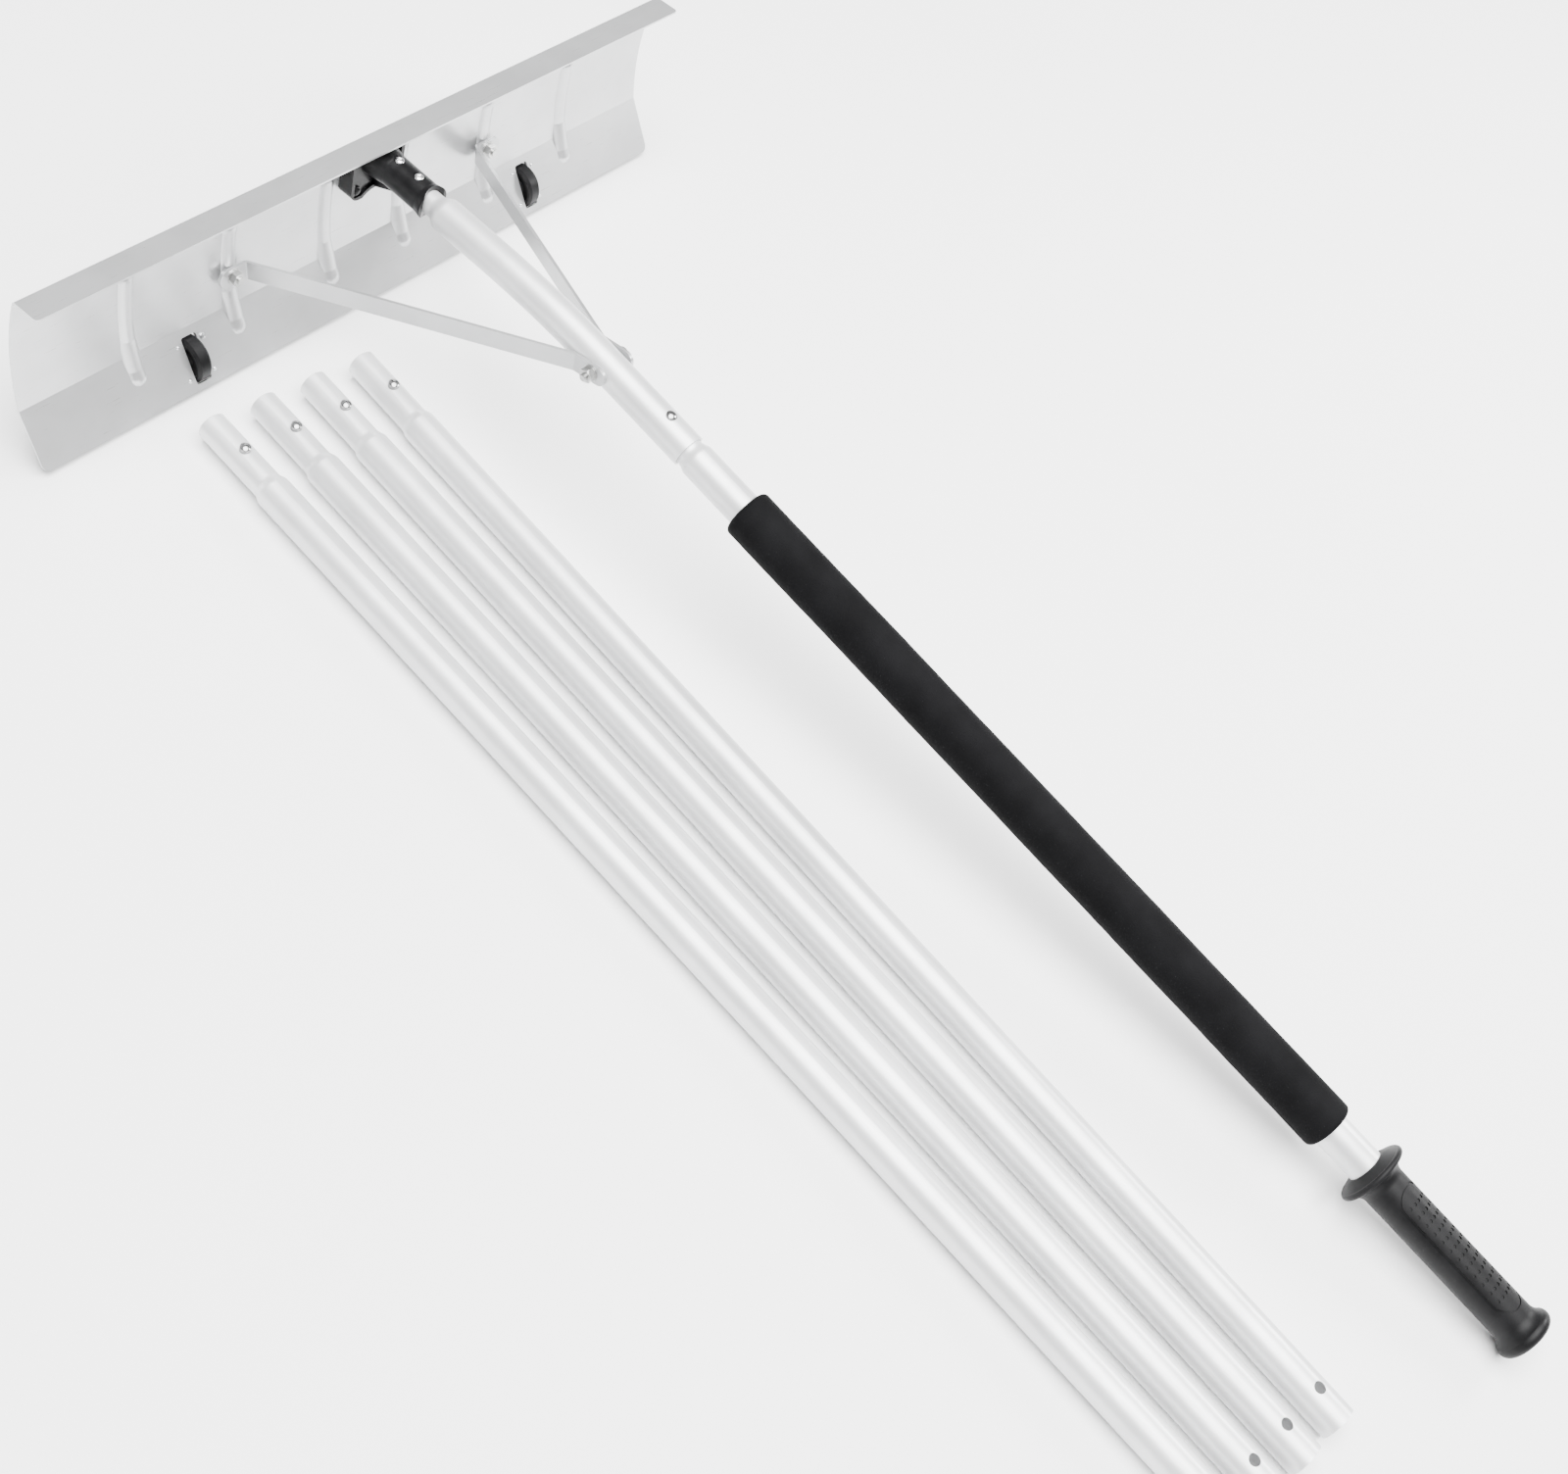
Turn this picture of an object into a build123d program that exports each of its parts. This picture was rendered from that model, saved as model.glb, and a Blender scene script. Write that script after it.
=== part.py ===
"""Roof snow rake: a braced sheet blade on wheels, a bent head tube, a padded handle section
and four loose extension tubes.  Millimetres, +Z up, blade along X, handle towards -Y.
The floor is Z = 0 and the origin is the middle of the floor area that the whole set covers."""

from build123d import *
from math import asin, atan2, cos, hypot, pi, radians, sin, sqrt, tan
import os

os.makedirs("parts", exist_ok=True)

# ---------------------------------------------------------------- driving dimensions
# blade sheet, measured on the face that meets the snow
BLADE_LENGTH = 635.0
SHEET = 1.5
PANEL_CHORD = 100.3
PANEL_SAG = 6.0
BLADE_LEAN = 4.9
FLANGE_DEPTH = 22.9
FLANGE_RISE = 2.5
LIP_WIDTH = 47.5
LIP_ANGLE = 33.5
BEND_RADIUS = 2.0
LIP_CORNER = 6.0
FLANGE_CORNER = 3.0
CREASE_Y = 585.5

# stiffening beads pressed into the sheet
BEAD_X = (38.0, 131.0, 223.0)
BEAD_RADIUS = 8.0
BEAD_HEIGHT = 3.5
BEAD_TOP = 34.0
BEAD_LEAVES_PANEL = 88.0
BEAD_MEETS_LIP = 11.0
BEAD_ON_LIP = 17.0

# blade wheels
WHEEL_X = 174.0
WHEEL_RADIUS = 18.5
WHEEL_WIDTH = 12.0
WHEEL_SETBACK = 8.0
WHEEL_ON_LIP = 24.5
AXLE_RADIUS = 2.5
RUNNING_GAP = 0.06
SLOT_WIDTH = 13.5
SLOT_LENGTH = 36.5
BRACKET_LENGTH = 42.0
BRACKET_WIDTH = 28.0
CHEEK_GAP = 0.5
CHEEK_RADIUS = 6.5

# tubes and spring buttons
TUBE_RADIUS = 13.5
TUBE_WALL = 1.6
NECK_RADIUS = 11.4
NECK_LENGTH = 64.0
SHOULDER = 8.0
BUTTON_FROM_TIP = 37.0
HOLE_FROM_END = 25.0
HOLE_RADIUS = 4.2
BUTTON_RADIUS = 4.1
BUTTON_TOP = 16.0
BUTTON_DOME = 1.6
BUTTON_FOOT = 7.2
BUTTON_FOOT_RADIUS = 4.9
LEAF_WIDTH = 7.0
LEAF_THICK = 0.8
LEAF_REACH = 12.0
LEAF_BEHIND = 7.0
EXTENSION_LENGTH = 1015.0
EXTENSION_COUNT = 4
EXTENSION_PITCH = 44.0
EXTENSION_X = -68.0
EXTENSION_FROM_CREASE = 87.0
EXTENSION_STAGGER = 5.0
EXTENSION_YAWS = (4.7, 4.3, 3.8, 3.3)

# head tube and its socket
SOCKET_HEIGHT = 124.9
SOCKET_RISE = 2.0
SOCKET_RADIUS = 12.8
SOCKET_REACH = 66.0
SPIGOT_RADIUS = 9.4
SPIGOT_DEPTH = 48.0
SPIGOT_SHOW = 4.0
SPIGOT_TAPER = 11.0
BEND_REACH = 188.0
BEND_TANGENT = 59.0
JOINT_REACH = 336.0
JOINT_HEIGHT = 115.0

# handle section
HANDLE_REACH = 842.0
BUTT_BACK = 8.0
FOAM_START = 59.5
FOAM_LENGTH = 589.5
FOAM_RADIUS = 19.3
FOAM_ROUND = 3.0
GRIP_START = 684.0
GRIP_RADIUS = 16.3
GUARD_RADIUS = 26.6
BUTT_RADIUS = 21.7
GLUE_GAP = 0.05

# socket bracket on the blade
BASE_FRONT = -8.0
BASE_HALF = 26.0
BASE_TOP = 6.0
BASE_BOTTOM = 50.0
BASE_CORNER = 9.0
BASE_RECESS = 2.2
BASE_RIVET_X = 19.5
BASE_RIVET_DROP = 41.0
PLASTIC_WALL = 3.2

# braces and fasteners
BRACE_WIDTH = 15.0
BRACE_THICK = 2.5
BRACE_DROP = 73.0
BRACE_REACH = 248.0
BRACE_TAB = 13.0
BRACE_BEND = 4.0
BOLT_RADIUS = 3.0
BOLT_HOLE = 3.1
BOLT_HEAD = 5.2
NUT_FLATS = 10.0
NUT_HEIGHT = 5.0
WASHER_RADIUS = 6.3
WASHER_THICK = 1.2
RIVET_SHANK = 1.6
RIVET_HEAD = 3.0
SMALL_SHANK = 1.4
SMALL_HEAD = 2.4
SCREW_SHANK = 1.9
SCREW_HEAD = 3.7
SHANK_GAP = 0.05

# ---------------------------------------------------------------- frames worked out from them
LEAN_C = cos(radians(BLADE_LEAN))
LEAN_S = sin(radians(BLADE_LEAN))
PANEL_RADIUS = (PANEL_CHORD**2 / 4 + PANEL_SAG**2) / (2 * PANEL_SAG)
ARC_CENTRE = Vector(PANEL_SAG - PANEL_RADIUS, -PANEL_CHORD / 2)
LOW_CREASE = Vector(0, -PANEL_CHORD)
FLANGE_TIP = Vector(-cos(radians(FLANGE_RISE)), sin(radians(FLANGE_RISE))) * FLANGE_DEPTH
LIP_ALONG = Vector(-sin(radians(LIP_ANGLE)), -cos(radians(LIP_ANGLE)))
LIP_OUT = Vector(cos(radians(LIP_ANGLE)), -sin(radians(LIP_ANGLE)))


def lip_point(along, out):
    """A place on the lip in the blade's side view: down the lip, then out behind it."""
    return LOW_CREASE + LIP_ALONG * along + LIP_OUT * out


def panel_normal(drop):
    """The panel's outward normal in the side view, at a drop below the top crease."""
    rise = (PANEL_CHORD / 2 - drop) / PANEL_RADIUS
    return Vector(sqrt(1 - rise**2), rise)


def panel_point(drop, out):
    """A place on the panel in the side view: down the chord, then out behind the face."""
    return ARC_CENTRE + panel_normal(drop) * (PANEL_RADIUS + out)


AXLE_SIDE = lip_point(WHEEL_ON_LIP, WHEEL_SETBACK)
CREASE_Z = WHEEL_RADIUS + AXLE_SIDE.X * LEAN_S - AXLE_SIDE.Y * LEAN_C


def blade_vector(u, v):
    """Turns a direction of the blade's side view into the world."""
    return Vector(0, u * LEAN_C + v * LEAN_S, v * LEAN_C - u * LEAN_S)


def blade_point(x, side):
    """World place of a point in the blade's side view: towards the roof, then up the chord."""
    return Vector(x, CREASE_Y, CREASE_Z) + blade_vector(side.X, side.Y)


def side_plane(x):
    """The blade's side view at x."""
    return Plane(origin=blade_point(x, Vector(0, 0)), x_dir=blade_vector(1, 0), z_dir=(1, 0, 0))


def facing_plane(x, side, outward):
    """Through a point of the blade, square to an outward direction and facing the handle."""
    return Plane(blade_point(x, side), x_dir=(1, 0, 0), z_dir=-blade_vector(outward.X, outward.Y))


# the straight line of the handle, down to the butt that rests on the floor
BUTT_AT = HANDLE_REACH - BUTT_BACK
POLE_SLOPE = asin(JOINT_HEIGHT / hypot(BUTT_RADIUS, BUTT_AT)) - atan2(BUTT_RADIUS, BUTT_AT)
POLE_DIR = Vector(0, -cos(POLE_SLOPE), -sin(POLE_SLOPE))
POLE_UP = Vector(0, -sin(POLE_SLOPE), cos(POLE_SLOPE))
JOINT = Vector(0, CREASE_Y - JOINT_REACH, JOINT_HEIGHT)
POLE_AXIS = Axis(JOINT, POLE_DIR)

# the socket's line, leaving the blade
SOCKET_FOOT = Vector(0, CREASE_Y, SOCKET_HEIGHT)
SOCKET_DIR = Vector(0, -cos(radians(SOCKET_RISE)), sin(radians(SOCKET_RISE)))
SOCKET_UP = Vector(0, sin(radians(SOCKET_RISE)), cos(radians(SOCKET_RISE)))
SOCKET_AXIS = Axis(SOCKET_FOOT, SOCKET_DIR)

# the brace's line, from the bead at the blade to the side of the head tube
BRACE_HEAD = JOINT - POLE_DIR * ((JOINT_REACH - BRACE_REACH) / cos(POLE_SLOPE))
BEAD_CREST = blade_point(0, panel_point(BRACE_DROP, -BEAD_HEIGHT))
BRACE_OUT = (BRACE_HEAD - BEAD_CREST).normalized()
TAB_LIFT = 0.7
BRACE_FOOT = BEAD_CREST + BRACE_OUT * TAB_LIFT
BRACE_RUN = (BRACE_HEAD - BRACE_FOOT).length


def side_view(origin, along):
    """Side view along a tube: sketch X runs along it, sketch Y runs up."""
    return Plane(origin=origin, x_dir=along, z_dir=along.cross(Vector(0, 0, 1)))


def swage(start, end, small, large):
    """Profile points of a swaged shoulder, rising smoothly from a small radius to a large one."""
    steps = [index / 8 for index in range(9)]
    rises = [(1 - cos(pi * step)) / 2 for step in steps]
    return [(start + (end - start) * t, small + (large - small) * r) for t, r in zip(steps, rises)]


def finish(builder, label):
    """Labels a finished piece and writes its file."""
    builder.part.label = label
    export_step(builder.part, f"parts/{label}.step")


# ---------------------------------------------------------------- blade
SIDES = (-1, 1)
TOP_RIVET_DROP = 12.0
RIVET_DROPS = (TOP_RIVET_DROP, BASE_RIVET_DROP)
WHEEL_RIVET_X = 11.2
WHEEL_RIVET_SPREAD = 13.2
bracket_rivet_spots = [(side * BASE_RIVET_X, drop) for side in SIDES for drop in RIVET_DROPS]
wheel_rivet_spots = [
    (side * WHEEL_X + dx * WHEEL_RIVET_X, WHEEL_ON_LIP + dl * WHEEL_RIVET_SPREAD)
    for side in SIDES
    for dx in SIDES
    for dl in SIDES
]


def bead_rods(radius):
    """Round-ended rods that follow the panel, cut across the low crease and end on the lip."""
    back = BEAD_RADIUS - BEAD_HEIGHT
    with BuildPart() as rods:
        for x in [side * bead for bead in BEAD_X for side in SIDES]:
            drops = (BEAD_TOP, (BEAD_TOP + BEAD_LEAVES_PANEL) / 2, BEAD_LEAVES_PANEL)
            arc = [blade_point(x, panel_point(drop, back)) for drop in drops]
            on_lip = [blade_point(x, lip_point(at, back)) for at in (BEAD_MEETS_LIP, BEAD_ON_LIP)]
            with BuildLine() as path:
                ThreePointArc(*arc)
                Polyline(arc[-1], *on_lip)
            with BuildSketch(Plane(path.line @ 0, z_dir=path.line % 0)):
                Circle(radius)
            sweep(path=path.line, transition=Transition.ROUND)
            with Locations(path.line @ 0, path.line @ 1):
                Sphere(radius)
    return rods.part


outer_rods = bead_rods(BEAD_RADIUS)
inner_rods = bead_rods(BEAD_RADIUS - SHEET)

# the handle's side of the middle of the sheet, which is all that a bead keeps of its rod
with BuildPart() as raised_beads:
    with BuildSketch(side_plane(-BLADE_LENGTH / 2)):
        with BuildLine():
            Polyline((0, 0), (-BLADE_LENGTH / 4, 0), (-BLADE_LENGTH / 4, -2 * PANEL_CHORD))
            Polyline((-BLADE_LENGTH / 4, -2 * PANEL_CHORD), lip_point(LIP_WIDTH, SHEET / 2))
            Line(lip_point(LIP_WIDTH, SHEET / 2), panel_point(PANEL_CHORD, SHEET / 2))
            ThreePointArc(
                panel_point(PANEL_CHORD, SHEET / 2),
                panel_point(PANEL_CHORD / 2, SHEET / 2),
                panel_point(0, SHEET / 2),
            )
            Line(panel_point(0, SHEET / 2), (0, 0))
        make_face()
    extrude(amount=BLADE_LENGTH)
    add(outer_rods, mode=Mode.INTERSECT)

with BuildPart() as blade:
    with BuildSketch(side_plane(-BLADE_LENGTH / 2)):
        with BuildLine():
            Line(FLANGE_TIP, (0, 0))
            ThreePointArc((0, 0), (PANEL_SAG, -PANEL_CHORD / 2), LOW_CREASE)
            Line(LOW_CREASE, lip_point(LIP_WIDTH, 0))
            offset(amount=SHEET, side=Side.LEFT, kind=Kind.INTERSECTION)
        make_face()
    extrude(amount=BLADE_LENGTH)
    top_crease = blade_point(0, Vector(0, 0))
    fillet(blade.edges().filter_by(Axis.X).sort_by_distance(top_crease)[1], BEND_RADIUS + SHEET)
    fillet(blade.edges().filter_by(Axis.X).sort_by_distance(top_crease)[0], BEND_RADIUS)
    corners = blade.edges().filter_by(lambda e: abs(e.length - SHEET) < SHEET / 20)
    fillet(corners.group_by(Axis.Z)[0], radius=LIP_CORNER)
    corners = blade.edges().filter_by(lambda e: abs(e.length - SHEET) < SHEET / 20)
    fillet(corners.sort_by(Axis.Z)[-2:], radius=FLANGE_CORNER)
    add(raised_beads.part)
    add(inner_rods, mode=Mode.SUBTRACT)
    # slots that the wheels come through, and their rivet holes
    for side in SIDES:
        with BuildSketch(facing_plane(side * WHEEL_X, lip_point(WHEEL_ON_LIP, 0), LIP_OUT)):
            RectangleRounded(SLOT_WIDTH, SLOT_LENGTH, 2)
        extrude(amount=SHEET * 2, both=True, mode=Mode.SUBTRACT)
    for x, along in wheel_rivet_spots:
        with BuildSketch(facing_plane(x, lip_point(along, 0), LIP_OUT)):
            Circle(SMALL_SHANK + SHANK_GAP)
        extrude(amount=SHEET * 2, both=True, mode=Mode.SUBTRACT)
    for x, drop in bracket_rivet_spots:
        with BuildSketch(facing_plane(x, panel_point(drop, 0), panel_normal(drop))):
            Circle(RIVET_SHANK + SHANK_GAP)
        extrude(amount=SHEET * 2, both=True, mode=Mode.SUBTRACT)
    # bolt holes through the crests of the two beads that carry the braces
    for side in SIDES:
        with BuildSketch(Plane(BRACE_FOOT + Vector(side * BEAD_X[1], 0, 0), z_dir=BRACE_OUT)):
            Circle(BOLT_HOLE)
        extrude(amount=BEAD_RADIUS, both=True, mode=Mode.SUBTRACT)
finish(blade, "blade")

# ---------------------------------------------------------------- socket bracket
socket_cross = Plane(origin=SOCKET_FOOT, x_dir=(1, 0, 0), z_dir=SOCKET_DIR)
SCREW_SPOTS = (SOCKET_REACH - 37.5, SOCKET_REACH - 17.0)
SCREW_SEAT = 11.6
SCREW_BORE = 4.2
PAD_RADIUS = 4.2
PAD_SUNK = 0.8
MOUTH_LIP = 1.2
MOUTH_FLARE = 7.0
MOUTH_SCOOP = 3.5
SCOOP_RADIUS = 18.0

with BuildPart() as socket_bracket:
    # foot: a rimmed plate with two lower lobes, shaped to the curve of the panel behind
    with BuildSketch(facing_plane(0, Vector(BASE_FRONT, 0), Vector(1, 0))) as foot:
        with Locations((0, -(BASE_TOP + BASE_BOTTOM) / 2)):
            Rectangle(2 * BASE_HALF, BASE_BOTTOM - BASE_TOP)
        fillet(foot.vertices().group_by(Axis.Z)[0], radius=BASE_CORNER)
        with Locations((0, -BASE_BOTTOM - 0.6 * BASE_HALF)):
            Circle(0.8 * BASE_HALF, mode=Mode.SUBTRACT)
    extrude(amount=-PANEL_SAG - 3 * PLASTIC_WALL)
    with BuildSketch(facing_plane(0, Vector(BASE_FRONT, 0), Vector(1, 0))):
        with Locations((0, -(BASE_TOP + BASE_BOTTOM) / 2 - PLASTIC_WALL)):
            RectangleRounded(
                2 * (BASE_HALF - PLASTIC_WALL), BASE_BOTTOM - BASE_TOP, BASE_CORNER - PLASTIC_WALL
            )
        with Locations((0, -BASE_BOTTOM - 0.6 * BASE_HALF)):
            Circle(0.8 * BASE_HALF + PLASTIC_WALL, mode=Mode.SUBTRACT)
        with Locations((0, -BASE_BOTTOM)):
            Rectangle(2 * BASE_HALF, 2 * PLASTIC_WALL, mode=Mode.SUBTRACT)
    extrude(amount=-BASE_RECESS, mode=Mode.SUBTRACT)
    # blocks that carry the rivets square to the panel
    for x, drop in bracket_rivet_spots:
        front = panel_point(drop, 0).X - BASE_FRONT - PAD_SUNK
        with BuildSketch(facing_plane(x, panel_point(drop, 0), panel_normal(drop))):
            Circle(PAD_RADIUS)
        extrude(amount=front)
    # the socket's root swells out of the foot
    with BuildSketch(socket_cross.offset(-BASE_FRONT - BASE_RECESS - 1)):
        Ellipse(17, 15)
    with BuildSketch(socket_cross.offset(SOCKET_REACH / 2.6)):
        Circle(SOCKET_RADIUS)
    loft()
    with BuildSketch(socket_cross):
        Circle(SOCKET_RADIUS)
    extrude(amount=SOCKET_REACH)
    # side webs and a web below
    for side in SIDES:
        with BuildSketch(Plane(SOCKET_FOOT, x_dir=(side, 0, 0), z_dir=SOCKET_UP * side)):
            Polygon((SOCKET_RADIUS - 2, 0), (BASE_HALF - 2, 0), (BASE_HALF - 2, 3 - BASE_FRONT),
                    (SOCKET_RADIUS - 2, SOCKET_REACH * 0.62), align=None)
        extrude(amount=PLASTIC_WALL / 2, both=True)
    with BuildSketch(Plane(SOCKET_FOOT, x_dir=SOCKET_DIR, z_dir=(-1, 0, 0))):
        Polygon((0, -SOCKET_RADIUS + 2), (0, -26), (3 - BASE_FRONT, -26),
                (SOCKET_REACH * 0.62, -SOCKET_RADIUS + 2), align=None)
    extrude(amount=PLASTIC_WALL / 2, both=True)
    # nothing of the foot reaches behind the face of the panel
    with BuildSketch(side_plane(-BASE_HALF - 2)):
        with Locations(ARC_CENTRE):
            Circle(PANEL_RADIUS)
    extrude(amount=2 * BASE_HALF + 4, mode=Mode.INTERSECT)
    # flared mouth, scooped out above and below
    with BuildSketch(side_view(SOCKET_FOOT, SOCKET_DIR)):
        Polygon(
            (SOCKET_REACH - MOUTH_FLARE, SPIGOT_RADIUS + 1),
            (SOCKET_REACH - MOUTH_FLARE, SOCKET_RADIUS),
            (SOCKET_REACH - 1.5, SOCKET_RADIUS + MOUTH_LIP),
            (SOCKET_REACH, SOCKET_RADIUS + MOUTH_LIP),
            (SOCKET_REACH, SPIGOT_RADIUS + 1),
            align=None,
        )
    revolve(axis=SOCKET_AXIS)
    with BuildSketch(socket_cross.offset(SOCKET_REACH - SPIGOT_DEPTH)):
        Circle(SPIGOT_RADIUS + GLUE_GAP)
    extrude(amount=SPIGOT_DEPTH, mode=Mode.SUBTRACT)
    scoop_at = SOCKET_FOOT + SOCKET_DIR * (SOCKET_REACH + SCOOP_RADIUS - MOUTH_SCOOP)
    with BuildSketch(Plane(scoop_at, x_dir=SOCKET_DIR, z_dir=SOCKET_UP)):
        Circle(SCOOP_RADIUS)
    extrude(amount=2 * SOCKET_RADIUS, both=True, mode=Mode.SUBTRACT)
    # holes for the two screws, with their heads let in
    for spot in SCREW_SPOTS:
        with BuildSketch(Plane(SOCKET_FOOT + SOCKET_DIR * spot, z_dir=SOCKET_UP)):
            Circle(SCREW_SHANK + SHANK_GAP)
        extrude(amount=2 * SOCKET_RADIUS, mode=Mode.SUBTRACT)
        with BuildSketch(Plane(SOCKET_FOOT + SOCKET_DIR * spot, z_dir=SOCKET_UP).offset(SCREW_SEAT)):
            Circle(SCREW_BORE)
        extrude(amount=SOCKET_RADIUS, mode=Mode.SUBTRACT)
    for x, drop in bracket_rivet_spots:
        with BuildSketch(facing_plane(x, panel_point(drop, 0), panel_normal(drop))):
            Circle(RIVET_SHANK + SHANK_GAP)
        extrude(amount=PANEL_SAG - 3 * BASE_FRONT, both=True, mode=Mode.SUBTRACT)
finish(socket_bracket, "socket_bracket")

with BuildPart() as bracket_rivets:
    for x, drop in bracket_rivet_spots:
        front = panel_point(drop, 0).X - BASE_FRONT - PAD_SUNK
        rivet_plane = facing_plane(x, panel_point(drop, 0), panel_normal(drop))
        with BuildSketch(rivet_plane.offset(front)):
            Circle(RIVET_HEAD)
        extrude(amount=1.8)
        fillet(bracket_rivets.faces().sort_by_distance(rivet_plane.offset(front + 1.8).origin)[0].edges(),
               radius=1.5)
        with BuildSketch(rivet_plane.offset(-SHEET - 1.2)):
            Circle(RIVET_HEAD - 0.6)
        extrude(amount=1.2)
        with BuildSketch(rivet_plane.offset(-SHEET - 1)):
            Circle(RIVET_SHANK)
        extrude(amount=front + SHEET + 2)
finish(bracket_rivets, "bracket_rivets")

with BuildPart() as socket_screws:
    for spot in SCREW_SPOTS:
        screw_plane = Plane(SOCKET_FOOT + SOCKET_DIR * spot, x_dir=(1, 0, 0), z_dir=SOCKET_UP)
        with BuildSketch(screw_plane.offset(SCREW_SEAT)):
            Circle(SCREW_HEAD)
        extrude(amount=2.4)
        fillet(socket_screws.faces().sort_by_distance(screw_plane.offset(SCREW_SEAT + 2.4).origin)[0].edges(),
               radius=1.4)
        with BuildSketch(screw_plane.offset(SCREW_SEAT + 1.2)):
            Rectangle(4.4, 1)
            Rectangle(1, 4.4)
        extrude(amount=2, mode=Mode.SUBTRACT)
        with BuildSketch(screw_plane.offset(SPIGOT_RADIUS - 4)):
            Circle(SCREW_SHANK)
        extrude(amount=SCREW_SEAT - SPIGOT_RADIUS + 4.5)
finish(socket_screws, "socket_screws")

# ---------------------------------------------------------------- head tube
bend_corner_rise = BEND_REACH / cos(radians(SOCKET_RISE)) * sin(radians(SOCKET_RISE))
BEND_CORNER = Vector(0, CREASE_Y - BEND_REACH, SOCKET_HEIGHT + bend_corner_rise)
HEAD_SLOPE_DIR = (JOINT - BEND_CORNER).normalized()
FULL_START = SOCKET_REACH + SPIGOT_SHOW + SPIGOT_TAPER
BEND_ANGLE = radians(SOCKET_DIR.get_angle(HEAD_SLOPE_DIR))

with BuildPart() as head_tube:
    with BuildLine() as run:
        FilletPolyline(
            SOCKET_FOOT + SOCKET_DIR * FULL_START,
            BEND_CORNER,
            JOINT,
            radius=BEND_TANGENT / tan(BEND_ANGLE / 2),
        )
    with BuildSketch(Plane(run.line @ 0, z_dir=run.line % 0)):
        Circle(TUBE_RADIUS)
        Circle(TUBE_RADIUS - TUBE_WALL, mode=Mode.SUBTRACT)
    sweep(path=run.line)
    # the end swaged down to fit the socket
    with BuildSketch(side_view(SOCKET_FOOT, SOCKET_DIR)):
        outer = [(SOCKET_REACH - SPIGOT_DEPTH + 1, SPIGOT_RADIUS)]
        outer += swage(SOCKET_REACH + SPIGOT_SHOW, FULL_START, SPIGOT_RADIUS, TUBE_RADIUS)
        Polygon(*outer, *[(along, radius - TUBE_WALL) for along, radius in reversed(outer)], align=None)
    revolve(axis=SOCKET_AXIS)
    for spot in SCREW_SPOTS:
        with BuildSketch(Plane(SOCKET_FOOT + SOCKET_DIR * spot, z_dir=SOCKET_UP)):
            Circle(SCREW_SHANK + SHANK_GAP)
        extrude(amount=SOCKET_RADIUS, mode=Mode.SUBTRACT)
    # hole for the handle's button, and one across for the brace bolt
    with BuildSketch(Plane(JOINT - POLE_DIR * HOLE_FROM_END, z_dir=POLE_UP)):
        Circle(HOLE_RADIUS)
    extrude(amount=2 * TUBE_RADIUS, mode=Mode.SUBTRACT)
    with BuildSketch(Plane(BRACE_HEAD, z_dir=(1, 0, 0))):
        Circle(BOLT_HOLE)
    extrude(amount=2 * TUBE_RADIUS, both=True, mode=Mode.SUBTRACT)
finish(head_tube, "head_tube")

# ---------------------------------------------------------------- braces
tube_side = TUBE_RADIUS + GLUE_GAP
with BuildPart() as brace_right:
    with BuildSketch(Plane(BRACE_FOOT, x_dir=(1, 0, 0), z_dir=Vector(1, 0, 0).cross(BRACE_OUT))):
        with BuildLine():
            FilletPolyline(
                (BEAD_X[1] + BRACE_TAB, 0),
                (BEAD_X[1] - BRACE_TAB, 0),
                (tube_side, BRACE_RUN - 1.3 * BRACE_TAB),
                (tube_side, BRACE_RUN + BRACE_TAB),
                radius=BRACE_BEND,
            )
            offset(amount=BRACE_THICK, side=Side.RIGHT)
        make_face()
    extrude(amount=BRACE_WIDTH / 2, both=True)
    end_corners = brace_right.edges().filter_by(lambda e: abs(e.length - BRACE_THICK) < 0.01)
    fillet(end_corners, radius=BRACE_WIDTH / 2 - 0.3)
    with BuildSketch(Plane(BRACE_FOOT + Vector(BEAD_X[1], 0, 0), z_dir=BRACE_OUT)):
        Circle(BOLT_HOLE)
    extrude(amount=2 * BRACE_THICK, both=True, mode=Mode.SUBTRACT)
    with BuildSketch(Plane(BRACE_HEAD, z_dir=(1, 0, 0))):
        Circle(BOLT_HOLE)
    extrude(amount=TUBE_RADIUS + 3 * BRACE_THICK, mode=Mode.SUBTRACT)
finish(brace_right, "brace_right")

with BuildPart() as brace_left:
    mirror(brace_right.part, about=Plane.YZ)
finish(brace_left, "brace_left")

# through bolt at the tube: dome head on the right, nut on the left
cross_plane = Plane(BRACE_HEAD, z_dir=(1, 0, 0))
tab_face = tube_side + BRACE_THICK
grip_face = tab_face + WASHER_THICK
with BuildPart() as brace_pole_bolt:
    with BuildSketch(cross_plane.offset(-grip_face - NUT_HEIGHT - 3)):
        Circle(BOLT_RADIUS)
    extrude(amount=2 * grip_face + NUT_HEIGHT + 4)
    chamfer(brace_pole_bolt.edges().sort_by(Axis.X)[0], length=0.6)
    with BuildSketch(cross_plane.offset(grip_face)):
        Circle(BOLT_HEAD)
    extrude(amount=3.4)
    fillet(brace_pole_bolt.faces().sort_by(Axis.X)[-1].edges(), radius=2)
    with BuildSketch(cross_plane.offset(grip_face + 1.6)):
        RegularPolygon(2, 6, major_radius=False)
    extrude(amount=3, mode=Mode.SUBTRACT)
finish(brace_pole_bolt, "brace_pole_bolt")

with BuildPart() as brace_pole_nut:
    with BuildSketch(cross_plane.offset(-grip_face - NUT_HEIGHT)):
        RegularPolygon(NUT_FLATS / 2, 6, major_radius=False)
        Circle(BOLT_RADIUS + SHANK_GAP, mode=Mode.SUBTRACT)
    extrude(amount=NUT_HEIGHT)
finish(brace_pole_nut, "brace_pole_nut")

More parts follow.
